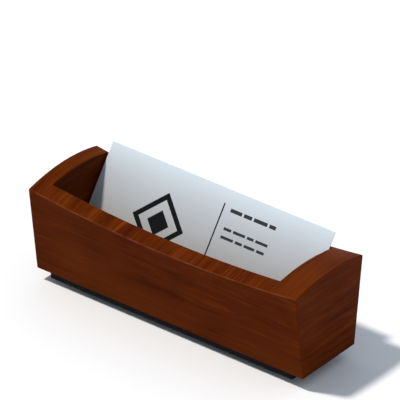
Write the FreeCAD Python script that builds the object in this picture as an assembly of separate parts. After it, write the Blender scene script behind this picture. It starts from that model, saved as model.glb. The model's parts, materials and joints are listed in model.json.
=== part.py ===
"""Desk-top holder for business cards: a mitred hardwood tray on a low black plinth, one card leaning in it.

Lengths are in millimetres. +X runs along the holder's length, +Y towards its back and +Z up.
The origin is the centre of the underside of the base pad, which is what the holder stands on.
"""

import FreeCAD, Part
import math
import os

V = FreeCAD.Vector

# Overall size of the wooden body
body_length = 108.0
body_depth_top = 34.7            # front to back at the height of the corners
body_depth_foot = 26.7           # front to back at the wood's underside
corner_height = 31.4             # wood's underside to the top of each corner
crown_rise = 2.25                # rise of the top between its front and back edges
dish_sag = 3.7                   # fall of the top at mid-length, below the corners

# Boards; the front and back boards' thickness is measured level, across their sloping faces
front_thickness = 6.3
back_thickness = 6.3
left_end_thickness = 5.1
right_end_thickness = 11.0
floor_thickness = 3.0
rebate_depth = 1.0               # how far the floor panel reaches into the boards
edge_round = 0.4                 # outer edges of the body
rim_round = 0.3                  # inner edges of the top, along the front and end boards

# Card, and the slope that it leans on
card_width = 90.0
card_height = 38.6
card_thickness = 0.25
card_side_gap = 0.8              # left end board to the card's left edge
card_clearance = 0.1             # card to the slope behind it and to the floor under it
rest_angle = 36.0                # lean of the card back from the vertical, degrees
back_land = 0.1                  # flat left on the back board's top behind the slope, at the corners

# Base
plinth_thickness = 2.2
pad_thickness = 2.05
plinth_end_inset = 4.8           # body's end to the plinth's end
plinth_side_inset = 0.75         # foot of the front and back faces to the plinth's edge
plinth_round = 0.6               # upright corners of the plinth
pad_screw_gap = 0.2              # screw heads to the pad's long edges

# Plinth screws
screw_radius = 0.8
screw_head_radius = 1.6
screw_length = 7.5               # head included
screw_tip_length = 1.5
screw_end_distance = 6.0         # plinth's end to a screw
screw_side_distance = 2.7        # plinth's edge to a screw

# Keys across the mitred corners
key_thickness = 1.0
key_reach = 2.0                  # into each board
key_height = 16.0
key_foot_height = 7.0            # wood's underside to the foot of a key

overshoot = 10.0                 # how far a cutting shape runs past what it cuts

half_length = body_length / 2
wood_z = plinth_thickness + pad_thickness
corner_z = wood_z + corner_height
dish_z = corner_z - dish_sag
face_slope = (body_depth_top - body_depth_foot) / 2 / corner_height
left_inner_x = -half_length + left_end_thickness
right_inner_x = half_length - right_end_thickness
floor_z = wood_z + floor_thickness
plinth_half_length = half_length - plinth_end_inset
plinth_half_depth = body_depth_foot / 2 - plinth_side_inset
pad_inset = screw_side_distance + screw_head_radius + pad_screw_gap
low_z = -overshoot
high_z = corner_z + crown_rise + overshoot


def outer_y(z):
    """Half the body's depth at height z: the front face is at minus this, the back face at plus this."""
    return body_depth_foot / 2 + face_slope * (z - wood_z)


def front_inner_y(z):
    return -outer_y(z) + front_thickness


def back_inner_y(z):
    return outer_y(z) - back_thickness


def arc_radius(chord, rise):
    return (chord * chord / 4 + rise * rise) / (2 * rise)


def along_x(outline, start_x, end_x):
    """Solid from an outline of (y, z) points, drawn out along X."""
    points = [V(start_x, y, z) for y, z in outline]
    face = Part.Face(Part.makePolygon(points + points[:1]))
    return face.extrude(V(end_x - start_x, 0, 0))


def between_levels(outline_at, bottom_z, top_z):
    """Flat-sided solid between two levels, from a function that gives the outline's (x, y) points at a height."""
    low = [V(x, y, bottom_z) for x, y in outline_at(bottom_z)]
    high = [V(x, y, top_z) for x, y in outline_at(top_z)]
    sides = [[low[i - 1], low[i], high[i], high[i - 1]] for i in range(len(low))]
    faces = [Part.Face(Part.makePolygon(ring + ring[:1])) for ring in [low, high] + sides]
    return Part.makeSolid(Part.makeShell(faces))


def slope_y(z):
    """Y of the slope that the card leans on, at height z."""
    top_edge_y = body_depth_top / 2 - edge_round - back_land
    return top_edge_y - (corner_z - z) * math.tan(math.radians(rest_angle))


def slope_meets_back_z():
    """Height where the slope meets the back board's inner face."""
    gap_at_corner = slope_y(corner_z) - back_inner_y(corner_z)
    return corner_z - gap_at_corner / (math.tan(math.radians(rest_angle)) - face_slope)


def below_top():
    """Everything below the top surface: crowned front to back, dished along the length."""
    crown_radius = arc_radius(body_depth_top, crown_rise)
    dish_radius = arc_radius(body_length, dish_sag)
    crown_centre_z = dish_z + crown_rise - crown_radius
    reach_y = body_depth_top / 2 + 2 * edge_round
    reach_z = crown_centre_z + math.sqrt(crown_radius**2 - reach_y**2)
    crown = Part.Arc(V(0, -reach_y, reach_z), V(0, 0, dish_z + crown_rise), V(0, reach_y, reach_z)).toShape()
    foot_z = low_z - overshoot
    corners = [(reach_y, reach_z), (reach_y, foot_z), (-reach_y, foot_z), (-reach_y, reach_z)]
    sides = Part.makePolygon([V(0, y, z) for y, z in corners])
    profile = Part.Face(Part.Wire([crown] + sides.Edges))
    axis_point = V(0, 0, dish_z + dish_radius)
    half_turn = math.degrees(math.asin((half_length + edge_round) / dish_radius))
    profile.rotate(axis_point, V(0, 1, 0), -half_turn)
    return profile.revolve(axis_point, V(0, 1, 0), 2 * half_turn)


def whole_body():
    """The wooden body as if it were one block, with its outer edges rounded and no pocket yet."""
    foot, top = outer_y(wood_z), outer_y(high_z)
    sides = [(-foot, wood_z), (foot, wood_z), (top, high_z), (-top, high_z)]
    block = along_x(sides, -half_length, half_length).common(below_top())
    return block.makeFillet(edge_round, block.Edges)


def pocket():
    """The space inside the boards: sloping front, sloping card rest, and open below for the floor panel."""
    meet_z = slope_meets_back_z()
    outline = [
        (front_inner_y(low_z), low_z),
        (back_inner_y(low_z), low_z),
        (back_inner_y(meet_z), meet_z),
        (slope_y(high_z), high_z),
        (front_inner_y(high_z), high_z),
    ]
    return along_x(outline, left_inner_x, right_inner_x)


def is_rim_edge(edge):
    """True for the edge of a front or end board's top that borders the pocket."""
    box = edge.BoundBox
    if box.ZMin < dish_z - crown_rise:
        return False
    middle = edge.valueAt((edge.FirstParameter + edge.LastParameter) / 2)
    along_front = abs(middle.y - front_inner_y(middle.z)) < rim_round and box.XLength > body_length / 2
    along_end = box.XLength < rim_round and box.YLength > box.ZLength
    at_inner_face = min(abs(middle.x - left_inner_x), abs(middle.x - right_inner_x)) < rim_round
    return along_front or (along_end and at_inner_face)


def round_rim(board):
    return board.makeFillet(rim_round, [edge for edge in board.Edges if is_rim_edge(edge)])


def mitre(end, side):
    """Functions for one corner: end is -1 left or 1 right, side is -1 front or 1 back.

    The joint runs from the outer corner to the inner corner; point(z, s) goes along it, s = 0 to 1.
    """
    end_thickness = left_end_thickness if end < 0 else right_end_thickness
    side_thickness = front_thickness if side < 0 else back_thickness

    def point(z, s):
        return (end * (half_length - s * end_thickness), side * (outer_y(z) - s * side_thickness))

    return point


def end_region(end):
    """Everything on an end board's side of its two mitres."""
    front, back = mitre(end, -1), mitre(end, 1)

    def outline(z):
        return [front(z, -0.5), front(z, 1.5), back(z, 1.5), back(z, -0.5)]

    return between_levels(outline, low_z, high_z)


def corner_key(end, side):
    """Thin key across one mitre, leaning with the corner."""
    point = mitre(end, side)

    def outline(z):
        (x0, y0), (x1, y1) = point(z, 0), point(z, 1)
        length = math.hypot(x1 - x0, y1 - y0)
        along = ((x1 - x0) / length, (y1 - y0) / length)
        across = (-along[1], along[0])
        middle = ((x0 + x1) / 2, (y0 + y1) / 2)
        half_thick = key_thickness / 2
        corners = []
        for a, c in [(-1, -1), (1, -1), (1, 1), (-1, 1)]:
            offset = [half_thick * a * along[i] + key_reach * c * across[i] for i in (0, 1)]
            corners.append((middle[0] + offset[0], middle[1] + offset[1]))
        return corners

    foot_z = wood_z + key_foot_height
    return between_levels(outline, foot_z, foot_z + key_height)


def floor_panel():
    """The pocket's floor, as wide as the pocket and its rebates."""

    def outline(z):
        front = front_inner_y(z) - rebate_depth
        back = back_inner_y(z) + rebate_depth
        left = left_inner_x - rebate_depth
        right = right_inner_x + rebate_depth
        return [(left, front), (right, front), (right, back), (left, back)]

    return between_levels(outline, wood_z, floor_z)


def card_rest():
    """Wedge between the floor and the back board that carries the slope down to the floor."""
    meet_z = slope_meets_back_z()
    outline = [(slope_y(floor_z), floor_z), (back_inner_y(floor_z), floor_z), (back_inner_y(meet_z), meet_z)]
    return along_x(outline, left_inner_x, right_inner_x)


def plate(half_x, half_y, bottom_z, thickness, corner_round):
    """Level plate centred on the origin, with rounded upright corners."""
    slab = Part.makeBox(2 * half_x, 2 * half_y, thickness, V(-half_x, -half_y, bottom_z))
    upright = [edge for edge in slab.Edges if edge.BoundBox.ZLength > thickness / 2]
    return slab.makeFillet(corner_round, upright)


def plinth_screw(x, y):
    """Countersunk wood screw, driven up through the plinth into a board."""
    head_height = screw_head_radius - screw_radius
    head = Part.makeCone(screw_head_radius, screw_radius, head_height, V(x, y, pad_thickness))
    shank_length = screw_length - head_height - screw_tip_length
    shank = Part.makeCylinder(screw_radius, shank_length, V(x, y, pad_thickness + head_height))
    tip_z = pad_thickness + head_height + shank_length
    tip = Part.makeCone(screw_radius, screw_radius / 4, screw_tip_length, V(x, y, tip_z))
    return head.fuse([shank, tip]).removeSplitter()


def plinth_screws():
    x = plinth_half_length - screw_end_distance
    y = plinth_half_depth - screw_side_distance
    return [plinth_screw(end * x, side * y) for end in (-1, 1) for side in (-1, 1)]


def business_card():
    """One card, its back parallel to the slope and its foot just clear of the floor."""
    lean = math.radians(rest_angle)
    forward = V(0, -math.cos(lean), math.sin(lean))
    upward = V(0, math.sin(lean), math.cos(lean))
    foot_z = floor_z + card_clearance
    foot_y = slope_y(foot_z) - card_clearance / math.cos(lean)
    foot = V(left_inner_x + card_side_gap, foot_y, foot_z)
    corners = [foot, foot + upward * card_height, foot + upward * card_height + forward * card_thickness]
    corners += [foot + forward * card_thickness, foot]
    return Part.Face(Part.makePolygon(corners)).extrude(V(card_width, 0, 0))


def build():
    """Every node of the holder, by name."""
    tray = whole_body().cut(pocket())
    ends = {"left_end": end_region(-1), "right_end": end_region(1)}
    keys = [corner_key(end, side) for end in (-1, 1) for side in (-1, 1)]
    screws = plinth_screws()
    panel = floor_panel()

    boards = {name: round_rim(tray.common(region).Solids[0]) for name, region in ends.items()}
    long_boards = sorted(tray.cut(list(ends.values())).Solids, key=lambda solid: solid.CenterOfMass.y)
    boards["front_rail"] = round_rim(long_boards[0])
    boards["back_board"] = long_boards[-1]
    nodes = {name: board.cut([panel] + keys + screws) for name, board in boards.items()}

    base = plate(plinth_half_length, plinth_half_depth, pad_thickness, plinth_thickness, plinth_round)
    nodes["floor_panel"] = panel
    nodes["card_rest"] = card_rest()
    nodes["corner_keys"] = Part.makeCompound(keys)
    nodes["plinth"] = base.cut(screws)
    nodes["plinth_screws"] = Part.makeCompound(screws)
    nodes["base_pad"] = plate(
        plinth_half_length - pad_inset, plinth_half_depth - pad_inset, 0, pad_thickness, plinth_round
    )
    nodes["business_card"] = business_card()
    return nodes


os.makedirs("parts", exist_ok=True)
for node_name, shape in build().items():
    shape.exportStep(os.path.join("parts", node_name + ".step"))
    print(node_name, len(shape.Solids), "solid(s)", round(shape.Volume, 1), "mm3", "valid", shape.isValid())
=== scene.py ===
"""Looks of the desk-top business card holder, built round its CAD frame. Lengths are in metres."""

import json
import math

import bmesh
import bpy
from mathutils import Matrix, Vector


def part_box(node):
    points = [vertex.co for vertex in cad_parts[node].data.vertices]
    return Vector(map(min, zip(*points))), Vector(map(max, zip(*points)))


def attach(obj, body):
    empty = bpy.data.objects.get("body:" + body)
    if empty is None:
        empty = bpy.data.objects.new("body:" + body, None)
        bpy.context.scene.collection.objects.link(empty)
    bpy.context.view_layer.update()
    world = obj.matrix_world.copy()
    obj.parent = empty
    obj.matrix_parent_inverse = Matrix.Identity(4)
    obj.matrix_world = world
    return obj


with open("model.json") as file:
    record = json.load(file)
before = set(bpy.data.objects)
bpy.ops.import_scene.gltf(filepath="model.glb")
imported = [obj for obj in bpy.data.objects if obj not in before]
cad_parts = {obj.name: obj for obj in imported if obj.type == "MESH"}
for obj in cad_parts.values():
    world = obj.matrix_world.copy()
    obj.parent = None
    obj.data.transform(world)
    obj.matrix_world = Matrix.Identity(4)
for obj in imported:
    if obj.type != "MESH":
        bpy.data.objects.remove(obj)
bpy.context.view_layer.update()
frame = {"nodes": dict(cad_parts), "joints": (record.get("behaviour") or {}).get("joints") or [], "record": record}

MM = 0.001

# Camera: far away with a long lens, so the picture has almost no perspective
VIEW_AZIMUTH = math.radians(38.37)
VIEW_ELEVATION = math.radians(31.42)
VIEW_DISTANCE = 3.0537
LENS_MM = 864.5
SENSOR_MM = 36.0
AIM_BACK = 2.64 * MM                          # a point behind the holder's middle
AIM_HEIGHT = 19.25 * MM                       # and above the surface that it stands on
AIM_OFFSET = Vector((0.02, 19.80)) * MM       # from that point to the picture's centre, right and up

# Light
KEY_TRAVEL = Vector((0.395, 0.272, -1.0))     # the way the key light travels
KEY_STRENGTH = 2.6
KEY_ANGLE = math.radians(5.5)
KEY_COLOUR = (1.0, 0.965, 0.92)
SKY_COLOUR = (0.41, 0.475, 0.545)
HORIZON_COLOUR = (0.95, 0.97, 1.0)
HORIZON_HEIGHT = 0.16                         # where the pale rim of the sky ends, as the sine of its height
SKY_TILT = 0.5                                # how much brighter the sky is behind the holder than overhead

# Floor
FLOOR_SIZE = 12.0
FLOOR_COLOUR = (0.92, 0.905, 0.90)
FLOOR_CLOUD_COLOUR = (0.85, 0.85, 0.85)

# Most values of a noise texture lie in this range
NOISE_RANGE = (0.3, 0.7)

# Finished wood: each kind of streak has a length, a width and a number of finer steps
BANDS = (40.0 * MM, 3.0 * MM, 4.0)
FIBRES = (14.0 * MM, 0.7 * MM, 3.0)
PORES = (4.0 * MM, 0.2 * MM, 1.0)
STREAKS_PER_METRE_DEEP = 40.0
SWAY_REACH = 3.5 * MM                         # how far streaks wander sideways
TURN_OVER = (0.68, 0.74)                      # how far a surface faces up or endways where its grain turns
UPRIGHT_FIGURE_RANGE = (0.26, 0.74)
TOP_FIGURE_RANGE = (0.33, 0.67)               # narrower, so the streaks on the top are stronger
# Painted shading: the wood's colour is darker on upright faces than on the top, as the light falls
UPRIGHT_PAINTED_SHADE = 0.89
TOP_PAINTED_SHADE = 0.98
WOOD_FIGURE = (                               # place between the darkest and the lightest streak, and colour
    (0.0, (0.040, 0.0050, 0.0006)),
    (0.38, (0.080, 0.0120, 0.0010)),
    (0.66, (0.112, 0.0185, 0.0014)),
    (1.0, (0.180, 0.0370, 0.0034)),
)
WOOD_WARM_COLOUR = (0.140, 0.028, 0.0020)
WOOD_PORE_COLOUR = (0.018, 0.0030, 0.0005)
# Rubbed wear and painted highlight: lighter along the front top edge
WOOD_RUB_AND_HIGHLIGHT_COLOUR = (0.22, 0.060, 0.030)
RUB_AND_HIGHLIGHT_START = 1.5 * MM                          # rubbing and painted highlight fade in between these distances behind the front
RUB_AND_HIGHLIGHT_FULL = 1.0 * MM
ROUNDED = (0.25, 0.45)                        # how far the rounded edge faces both up and forwards

# Other materials: place on the noise and colour, dark and light
KEY_WOOD_TONES = ((0.3, (0.30, 0.17, 0.075)), (0.7, (0.46, 0.29, 0.14)))
LACQUER_TONES = ((0.3, (0.0030, 0.0024, 0.0026)), (0.75, (0.0090, 0.0070, 0.0074)))
RUBBER_TONES = ((0.3, (0.008, 0.008, 0.009)), (0.7, (0.020, 0.020, 0.021)))
BRASS_TONES = ((0.3, (0.36, 0.20, 0.06)), (0.65, (0.62, 0.42, 0.15)))
DARK_INK_COLOUR = (0.005, 0.005, 0.006)
GREY_INK_COLOUR = (0.032, 0.035, 0.038)

# Card: share of its height and colour, from its foot up, as painted light: painted shading darkens the foot,
# painted sky light pales the top to blue
CARD_PAINTED_LIGHT = (
    (0.0, (0.43, 0.42, 0.41)),
    (0.45, (0.47, 0.465, 0.46)),
    (0.75, (0.625, 0.65, 0.685)),
    (1.0, (0.76, 0.85, 0.92)),
)
CARD_FIBRE_COLOUR = (0.30, 0.31, 0.32)

# Card print, measured on the card from its top left corner: along the top edge, then down
INK_THICKNESS = 0.015 * MM
INK_SUNK = 0.005 * MM
DIVIDER_ACROSS = 47.6 * MM
DIVIDER_MARGIN = 4.7 * MM
DIVIDER_WIDTH = 0.5 * MM
TEXT_LEFT = 50.8 * MM
TEXT_GAP_MM = 0.8
TEXT_ROWS_MM = (                              # down, height, and the lengths of the bars
    (5.6, 1.2, (4.6, 3.2, 5.4, 2.6)),
    (11.9, 0.9, (3.0, 4.8, 2.6, 4.8)),
    (14.7, 0.9, (5.0, 2.8, 4.2, 3.0)),
)
EMBLEM_ACROSS = 27.0 * MM
EMBLEM_DOWN = 18.8 * MM
EMBLEM_REACH = 10.3 * MM                      # from the lozenge's centre to its corners
EMBLEM_LINE = 1.7 * MM
EMBLEM_CORE_REACH = 4.3 * MM


# ---------------------------------------------------------------- shader helpers


class Shader:
    """A material's node tree, with short calls to add and join nodes."""

    def __init__(self, name):
        self.material = bpy.data.materials.new(name)
        self.material.use_nodes = True
        self.tree = self.material.node_tree
        self.tree.nodes.clear()
        self.surface = self.tree.nodes.new("ShaderNodeBsdfPrincipled")
        output = self.tree.nodes.new("ShaderNodeOutputMaterial")
        self.tree.links.new(self.surface.outputs["BSDF"], output.inputs["Surface"])

    def put(self, socket, value):
        """Links the value if it is another node's output, and otherwise sets it."""
        if isinstance(value, bpy.types.NodeSocket):
            self.tree.links.new(value, socket)
        else:
            socket.default_value = value

    def set(self, **values):
        """Sets or links the surface shader's sockets: base_color is Base Color."""
        for name, value in values.items():
            words = [word if word.isupper() else word.capitalize() for word in name.split("_")]
            self.put(self.surface.inputs[" ".join(words)], value)

    def node(self, kind, *values, out=0, **settings):
        made = self.tree.nodes.new("ShaderNode" + kind)
        for name, value in settings.items():
            setattr(made, name, value)
        for socket, value in zip(made.inputs, values):
            if value is not None:
                self.put(socket, value)
        return made.outputs[out]

    def math(self, operation, *values):
        return self.node("Math", *values, operation=operation)

    def remap(self, value, low, high, to_low=0.0, to_high=1.0):
        return self.node("MapRange", value, low, high, to_low, to_high)

    def blend(self, share, first, second):
        """Number between two numbers."""
        return self.node("Mix", share, None, first, second, data_type="FLOAT")

    def tint(self, share, first, second, mode="MIX"):
        """Colour between two colours."""
        made = self.tree.nodes.new("ShaderNodeMix")
        made.data_type = "RGBA"
        made.blend_type = mode
        self.put(made.inputs["Factor"], share)
        for name, value in (("A", first), ("B", second)):
            colour = [socket for socket in made.inputs if socket.name == name and socket.type == "RGBA"][0]
            self.put(colour, value if isinstance(value, bpy.types.NodeSocket) else (*value, 1.0))
        return [socket for socket in made.outputs if socket.type == "RGBA"][0]

    def noise(self, vector, scale, detail=3.0, roughness=0.55):
        made = self.tree.nodes.new("ShaderNodeTexNoise")
        settings = (("Vector", vector), ("Scale", scale), ("Detail", detail), ("Roughness", roughness))
        for name, value in settings:
            self.put(made.inputs[name], value)
        return made.outputs["Fac"]

    def ramp(self, value, stops):
        made = self.tree.nodes.new("ShaderNodeValToRGB")
        elements = made.color_ramp.elements
        while len(elements) < len(stops):
            elements.new(0.5)
        for element, (place, colour) in zip(elements, stops):
            element.position = place
            element.color = (*colour, 1.0)
        self.put(made.inputs["Fac"], value)
        return made.outputs["Color"]

    def bump(self, height, strength, distance):
        made = self.tree.nodes.new("ShaderNodeBump")
        for name, value in (("Strength", strength), ("Distance", distance), ("Height", height)):
            self.put(made.inputs[name], value)
        return made.outputs["Normal"]

    def split(self, vector):
        made = self.tree.nodes.new("ShaderNodeSeparateXYZ")
        self.put(made.inputs[0], vector)
        return list(made.outputs)

    def place(self):
        """Position on the piece, in metres, as x, y and z and as one vector."""
        vector = self.node("TexCoord", out="Object")
        return *self.split(vector), vector

    def facing(self):
        """How far the surface faces along X, Y and Z, each 0 to 1."""
        return [self.math("ABSOLUTE", part) for part in self.split(self.node("TexCoord", out="Normal"))]

    def vector(self, x, y, z):
        return self.node("CombineXYZ", x, y, z)

    def stretched(self, x, y, z, scale_x, scale_y, scale_z):
        """Vector of the three places, each times its own scale."""
        pairs = ((x, scale_x), (y, scale_y), (z, scale_z))
        return self.vector(*[self.math("MULTIPLY", place, scale) for place, scale in pairs])


# ---------------------------------------------------------------- materials


def rub_and_highlight_edge(s, y, face_y, face_z, vector):
    """Mask of the front top edge, where the wood is rubbed and a highlight is painted: rounded, and at the very
    front.
    """
    front_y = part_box("front_rail")[0].y
    at_front = s.remap(y, front_y + RUB_AND_HIGHLIGHT_START, front_y + RUB_AND_HIGHLIGHT_FULL)
    rounded = s.math("MULTIPLY", s.remap(face_z, *ROUNDED), s.remap(face_y, *ROUNDED))
    rub_and_highlight_noise = s.remap(s.noise(vector, scale=260.0), 0.35, 0.7)
    strength = s.math("MULTIPLY_ADD", rub_and_highlight_noise, 0.50, 0.12)
    return s.math("MULTIPLY", s.math("MULTIPLY", rounded, at_front), strength)


def finished_wood():
    """Fine-grained hardwood, stained reddish brown, under a satin lacquer, with painted shading that darkens its
    upright faces.

    The figure runs level along each upright face, and front to back over the top, whose front edge is rubbed and
    carries a painted highlight.
    """
    s = Shader("finished_wood")
    x, y, z, vector = s.place()
    face_x, face_y, face_z = s.facing()
    on_top = s.remap(face_z, *TURN_OVER)
    on_end = s.remap(face_x, *TURN_OVER)

    along = s.blend(on_top, s.blend(on_end, x, y), y)
    across = s.blend(on_top, z, x)
    depth = s.blend(on_top, s.blend(on_end, y, x), z)
    sway = s.noise(s.stretched(along, across, depth, 30.0, 60.0, 1.0), scale=1.0, detail=2.0)
    across = s.math("ADD", across, s.math("MULTIPLY", s.math("SUBTRACT", sway, 0.5), SWAY_REACH))

    def streaks(length, width, detail):
        along_scaled = s.math("DIVIDE", along, length)
        across_scaled = s.math("DIVIDE", across, width)
        depth_scaled = s.math("MULTIPLY", depth, STREAKS_PER_METRE_DEEP)
        where = s.vector(along_scaled, across_scaled, depth_scaled)
        return s.noise(where, scale=1.0, detail=detail, roughness=0.6)

    bands = streaks(*BANDS)
    fibres = streaks(*FIBRES)
    pores = streaks(*PORES)
    cloud = s.noise(s.vector(along, across, depth), scale=32.0, detail=2.0)

    figure = s.math("ADD", s.math("MULTIPLY", bands, 0.55), s.math("MULTIPLY", fibres, 0.45))
    ranges = zip(UPRIGHT_FIGURE_RANGE, TOP_FIGURE_RANGE)
    darkest, lightest = [s.blend(on_top, upright, top) for upright, top in ranges]
    colour = s.ramp(s.remap(figure, darkest, lightest), WOOD_FIGURE)
    colour = s.tint(s.remap(cloud, 0.42, 0.66, 0.0, 0.5), colour, WOOD_WARM_COLOUR)
    pore_mask = s.remap(pores, 0.32, 0.20)
    colour = s.tint(s.math("MULTIPLY", pore_mask, 0.6), colour, WOOD_PORE_COLOUR)
    # painted shading: upright faces are coloured darker than the top
    painted_shade = s.blend(on_top, UPRIGHT_PAINTED_SHADE, TOP_PAINTED_SHADE)
    colour = s.tint(1.0, colour, s.vector(painted_shade, painted_shade, painted_shade), "MULTIPLY")
    # rubbed wear and painted highlight, lighter along the front top edge
    colour = s.tint(rub_and_highlight_edge(s, y, face_y, face_z, vector), colour, WOOD_RUB_AND_HIGHLIGHT_COLOUR)

    polish = s.remap(s.noise(vector, scale=90.0), *NOISE_RANGE, 0.34, 0.46)
    relief = s.math("SUBTRACT", s.math("MULTIPLY", fibres, 0.35), pore_mask)
    s.set(
        base_color=colour,
        roughness=s.math("ADD", polish, s.math("MULTIPLY", pore_mask, 0.2)),
        Specular_IOR_Level=0.01,
        normal=s.bump(relief, strength=0.35, distance=0.04 * MM),
    )
    return s.material


def key_wood():
    """Pale bare wood of the corner keys."""
    s = Shader("key_wood")
    x, y, z, _ = s.place()
    grain = s.noise(s.stretched(x, y, z, 1800.0, 1800.0, 120.0), scale=1.0, detail=4.0)
    s.set(
        base_color=s.ramp(grain, KEY_WOOD_TONES),
        roughness=0.7,
        normal=s.bump(grain, strength=0.4, distance=0.05 * MM),
    )
    return s.material


def black_lacquer():
    """Satin black of the plinth, with faint brushing along it."""
    s = Shader("black_lacquer")
    x, y, z, vector = s.place()
    brushing = s.noise(s.stretched(x, y, z, 90.0, 2500.0, 2500.0), scale=1.0)
    dust = s.noise(vector, scale=420.0, detail=4.0)
    tone = s.math("MULTIPLY_ADD", dust, 0.6, s.math("MULTIPLY", brushing, 0.4))
    s.set(
        base_color=s.ramp(tone, LACQUER_TONES),
        roughness=s.remap(brushing, *NOISE_RANGE, 0.40, 0.55),
        Specular_IOR_Level=0.05,
        normal=s.bump(brushing, strength=0.15, distance=0.03 * MM),
    )
    return s.material


def black_rubber():
    """Matt moulded rubber of the pad, with a pebbled skin."""
    s = Shader("black_rubber")
    _, _, _, vector = s.place()
    pebbles = s.noise(vector, scale=1600.0, roughness=0.5)
    bloom = s.noise(vector, scale=120.0, detail=4.0, roughness=0.6)
    tone = s.math("MULTIPLY_ADD", bloom, 0.7, s.math("MULTIPLY", pebbles, 0.3))
    s.set(
        base_color=s.ramp(tone, RUBBER_TONES),
        roughness=s.remap(bloom, *NOISE_RANGE, 0.72, 0.88),
        Specular_IOR_Level=0.3,
        normal=s.bump(pebbles, strength=0.6, distance=0.08 * MM),
    )
    return s.material


def screw_brass():
    """Turned brass, slightly tarnished."""
    s = Shader("screw_brass")
    _, _, z, vector = s.place()
    turning = s.noise(s.vector(0.0, 0.0, s.math("MULTIPLY", z, 9000.0)), scale=1.0, detail=2.0)
    tarnish = s.noise(vector, scale=700.0, detail=4.0)
    s.set(
        base_color=s.ramp(tarnish, BRASS_TONES),
        metallic=1.0,
        roughness=s.remap(turning, *NOISE_RANGE, 0.25, 0.42),
        normal=s.bump(turning, strength=0.3, distance=0.02 * MM),
    )
    return s.material


def card_stock():
    """Smooth card with a faint fibre, with painted light: pale blue at its upper edge, darkening by painted
    shading to warm grey at its foot.
    """
    s = Shader("card_stock")
    _, _, z, vector = s.place()
    low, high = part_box("business_card")
    fibre = s.noise(vector, scale=2200.0, detail=5.0, roughness=0.65)
    mottle = s.noise(vector, scale=60.0, detail=2.0)
    mix = s.math("MULTIPLY_ADD", fibre, 0.4, s.math("MULTIPLY", mottle, 0.6))
    # painted light: darker towards the foot, paler and bluer towards the top
    tint = s.ramp(s.remap(z, low.z, high.z), CARD_PAINTED_LIGHT)
    s.set(
        base_color=s.tint(s.remap(mix, *NOISE_RANGE, 0.0, 0.07), tint, CARD_FIBRE_COLOUR),
        roughness=s.remap(fibre, *NOISE_RANGE, 0.55, 0.68),
        Specular_IOR_Level=0.2,
        normal=s.bump(fibre, strength=0.12, distance=0.03 * MM),
    )
    return s.material


def ink(name, colour):
    """Printing ink, a little uneven where the card's fibres show through."""
    s = Shader(name)
    _, _, _, vector = s.place()
    speckle = s.noise(vector, scale=3200.0, roughness=0.6)
    lighter = tuple(1.6 * channel + 0.004 for channel in colour)
    s.set(
        base_color=s.ramp(speckle, ((0.35, colour), (0.75, lighter))),
        roughness=s.remap(speckle, *NOISE_RANGE, 0.5, 0.65),
        Specular_IOR_Level=0.08,
    )
    return s.material


def studio_floor():
    """Plain pale surface."""
    s = Shader("studio_floor")
    _, _, _, vector = s.place()
    cloud = s.noise(vector, scale=3.0, detail=2.0)
    base = s.tint(s.remap(cloud, *NOISE_RANGE, 0.0, 0.02), FLOOR_COLOUR, FLOOR_CLOUD_COLOUR)
    s.set(base_color=base, roughness=0.8, Specular_IOR_Level=0.0)
    return s.material


# ---------------------------------------------------------------- pieces


def give_material(obj, material):
    obj.data.materials.clear()
    obj.data.materials.append(material)


def piece_from(name, mesh, material, body):
    obj = bpy.data.objects.new(name, mesh)
    bpy.context.scene.collection.objects.link(obj)
    give_material(obj, material)
    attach(obj, body)


def mesh_from(name, build):
    """Mesh made by a function that fills a bmesh."""
    shape = bmesh.new()
    build(shape)
    bmesh.ops.recalc_face_normals(shape, faces=shape.faces)
    mesh = bpy.data.meshes.new(name)
    shape.to_mesh(mesh)
    shape.free()
    return mesh


class CardFace:
    """The printed face of the card, as the frame has it.

    Places on it are (across, down) from its top left corner.
    """

    def __init__(self):
        low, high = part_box("business_card")
        _, sine, cosine = frame["joints"][0]["axis"]
        size_y, size_z = high.y - low.y, high.z - low.z
        # size_y is height * sine + thickness * cosine, and size_z is height * cosine + thickness * sine
        spread = cosine**2 - sine**2
        self.height = (size_z * cosine - size_y * sine) / spread
        thickness = (size_y * cosine - size_z * sine) / spread
        self.down = Vector((0, -sine, -cosine))
        self.out = Vector((0, -cosine, sine))
        self.corner = Vector((low.x, high.y - thickness * cosine, high.z))

    def point(self, across, down, lift):
        return self.corner + Vector((across, 0, 0)) + self.down * down + self.out * lift


def ring(shape, face, outline, lift):
    """Adds points along an outline of (across, down) places, all at one height over the card."""
    return [shape.verts.new(face.point(*place, lift)) for place in outline]


def wall(shape, first, second):
    """Adds a band of four-sided faces between two rings of points."""
    for i in range(len(first)):
        shape.faces.new([first[i - 1], first[i], second[i], second[i - 1]])


def print_slab(shape, face, outline):
    """Adds a thin raised slab of ink over an outline."""
    low = ring(shape, face, outline, -INK_SUNK)
    high = ring(shape, face, outline, INK_THICKNESS)
    shape.faces.new(low[::-1])
    shape.faces.new(high)
    wall(shape, low, high)


def bar(across, down, width, height):
    return [(across, down), (across + width, down), (across + width, down + height), (across, down + height)]


def divider(face):
    def build(shape):
        length = face.height - 2 * DIVIDER_MARGIN
        print_slab(shape, face, bar(DIVIDER_ACROSS, DIVIDER_MARGIN, DIVIDER_WIDTH, length))

    return mesh_from("card_divider", build)


def text_row(face, name, down, height, lengths):
    """A row of plain bars that stands for a line of small print."""

    def build(shape):
        across = TEXT_LEFT
        for length in lengths:
            print_slab(shape, face, bar(across, down * MM, length * MM, height * MM))
            across += (length + TEXT_GAP_MM) * MM

    return mesh_from(name, build)


def lozenge(reach):
    turns = (0, math.pi / 2, math.pi, 1.5 * math.pi)
    return [(EMBLEM_ACROSS + reach * math.sin(turn), EMBLEM_DOWN - reach * math.cos(turn)) for turn in turns]


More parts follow.
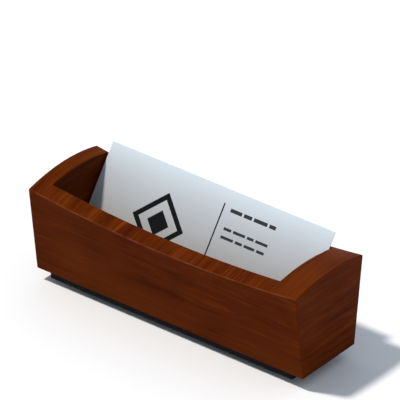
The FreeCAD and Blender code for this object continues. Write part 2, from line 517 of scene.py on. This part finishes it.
def emblem(face):
    """A plain lozenge frame with a small solid lozenge in it."""
    outer = lozenge(EMBLEM_REACH)
    inner = lozenge(EMBLEM_REACH - EMBLEM_LINE * math.sqrt(2))

    def build(shape):
        edges = ((outer, -INK_SUNK), (outer, INK_THICKNESS), (inner, INK_THICKNESS), (inner, -INK_SUNK))
        rings = [ring(shape, face, outline, lift) for outline, lift in edges]
        for i in range(len(rings)):
            wall(shape, rings[i - 1], rings[i])
        print_slab(shape, face, lozenge(EMBLEM_CORE_REACH))

    return mesh_from("card_emblem", build)


# ---------------------------------------------------------------- stage


def floor():
    half = FLOOR_SIZE / 2
    corners = [(-half, -half, 0), (half, -half, 0), (half, half, 0), (-half, half, 0)]
    mesh = bpy.data.meshes.new("studio_floor")
    mesh.from_pydata(corners, [], [(0, 1, 2, 3)])
    obj = bpy.data.objects.new("studio_floor", mesh)
    bpy.context.scene.collection.objects.link(obj)
    give_material(obj, studio_floor())


def key_light():
    lamp = bpy.data.lights.new("key", "SUN")
    lamp.energy = KEY_STRENGTH
    lamp.angle = KEY_ANGLE
    lamp.color = KEY_COLOUR
    obj = bpy.data.objects.new("key", lamp)
    obj.rotation_euler = KEY_TRAVEL.to_track_quat("-Z", "Y").to_euler()
    bpy.context.scene.collection.objects.link(obj)


def sky():
    """Bluish light from above, paling to white at the horizon and stronger from behind the holder."""
    world = bpy.data.worlds.new("sky")
    bpy.context.scene.world = world
    world.use_nodes = True
    nodes, links = world.node_tree.nodes, world.node_tree.links
    background = nodes["Background"]
    direction = nodes.new("ShaderNodeSeparateXYZ")
    links.new(nodes.new("ShaderNodeTexCoord").outputs["Generated"], direction.inputs[0])

    colour = nodes.new("ShaderNodeValToRGB")
    colour.color_ramp.interpolation = "EASE"
    rim, dome = colour.color_ramp.elements
    rim.color = (*HORIZON_COLOUR, 1)
    dome.color = (*SKY_COLOUR, 1)
    dome.position = HORIZON_HEIGHT
    links.new(direction.outputs["Z"], colour.inputs["Fac"])
    links.new(colour.outputs["Color"], background.inputs["Color"])

    tilt = nodes.new("ShaderNodeMath")
    tilt.operation = "MULTIPLY_ADD"
    links.new(direction.outputs["Y"], tilt.inputs[0])
    tilt.inputs[1].default_value = SKY_TILT
    tilt.inputs[2].default_value = 1.0
    links.new(tilt.outputs[0], background.inputs["Strength"])


def camera():
    lens = bpy.data.cameras.new("camera")
    lens.lens = LENS_MM
    lens.sensor_width = SENSOR_MM
    lens.clip_end = 3 * VIEW_DISTANCE
    sin_a, cos_a = math.sin(VIEW_AZIMUTH), math.cos(VIEW_AZIMUTH)
    sin_e, cos_e = math.sin(VIEW_ELEVATION), math.cos(VIEW_ELEVATION)
    right = Vector((cos_a, sin_a, 0))
    up = Vector((-sin_a * sin_e, cos_a * sin_e, cos_e))
    back = Vector((sin_a * cos_e, -cos_a * cos_e, sin_e))
    aim = Vector((0, AIM_BACK, AIM_HEIGHT)) + right * AIM_OFFSET.x + up * AIM_OFFSET.y
    turn = Matrix((right, up, back)).transposed().to_4x4()
    obj = bpy.data.objects.new("camera", lens)
    obj.matrix_world = Matrix.Translation(aim + back * VIEW_DISTANCE) @ turn
    bpy.context.scene.collection.objects.link(obj)
    bpy.context.scene.camera = obj


# ---------------------------------------------------------------- the scene


def dress_frame():
    """Materials for the CAD nodes."""
    made = {
        "finished_wood": finished_wood(),
        "key_wood": key_wood(),
        "black_lacquer": black_lacquer(),
        "screw_brass": screw_brass(),
        "black_rubber": black_rubber(),
        "card_stock": card_stock(),
    }
    for part in frame["record"]["subparts"]:
        give_material(frame["nodes"][part["node"]], made[part["material_slot"]])


def print_card():
    face = CardFace()
    dark = ink("ink_dark", DARK_INK_COLOUR)
    grey = ink("ink_grey", GREY_INK_COLOUR)
    pieces = [(emblem(face), dark), (divider(face), dark)]
    pieces += [(text_row(face, f"card_text_{i}", *row), grey) for i, row in enumerate(TEXT_ROWS_MM, 1)]
    for mesh, material in pieces:
        piece_from(mesh.name, mesh, material, "card")


bpy.context.scene.view_settings.view_transform = "Standard"
dress_frame()
print_card()
floor()
key_light()
sky()
camera()
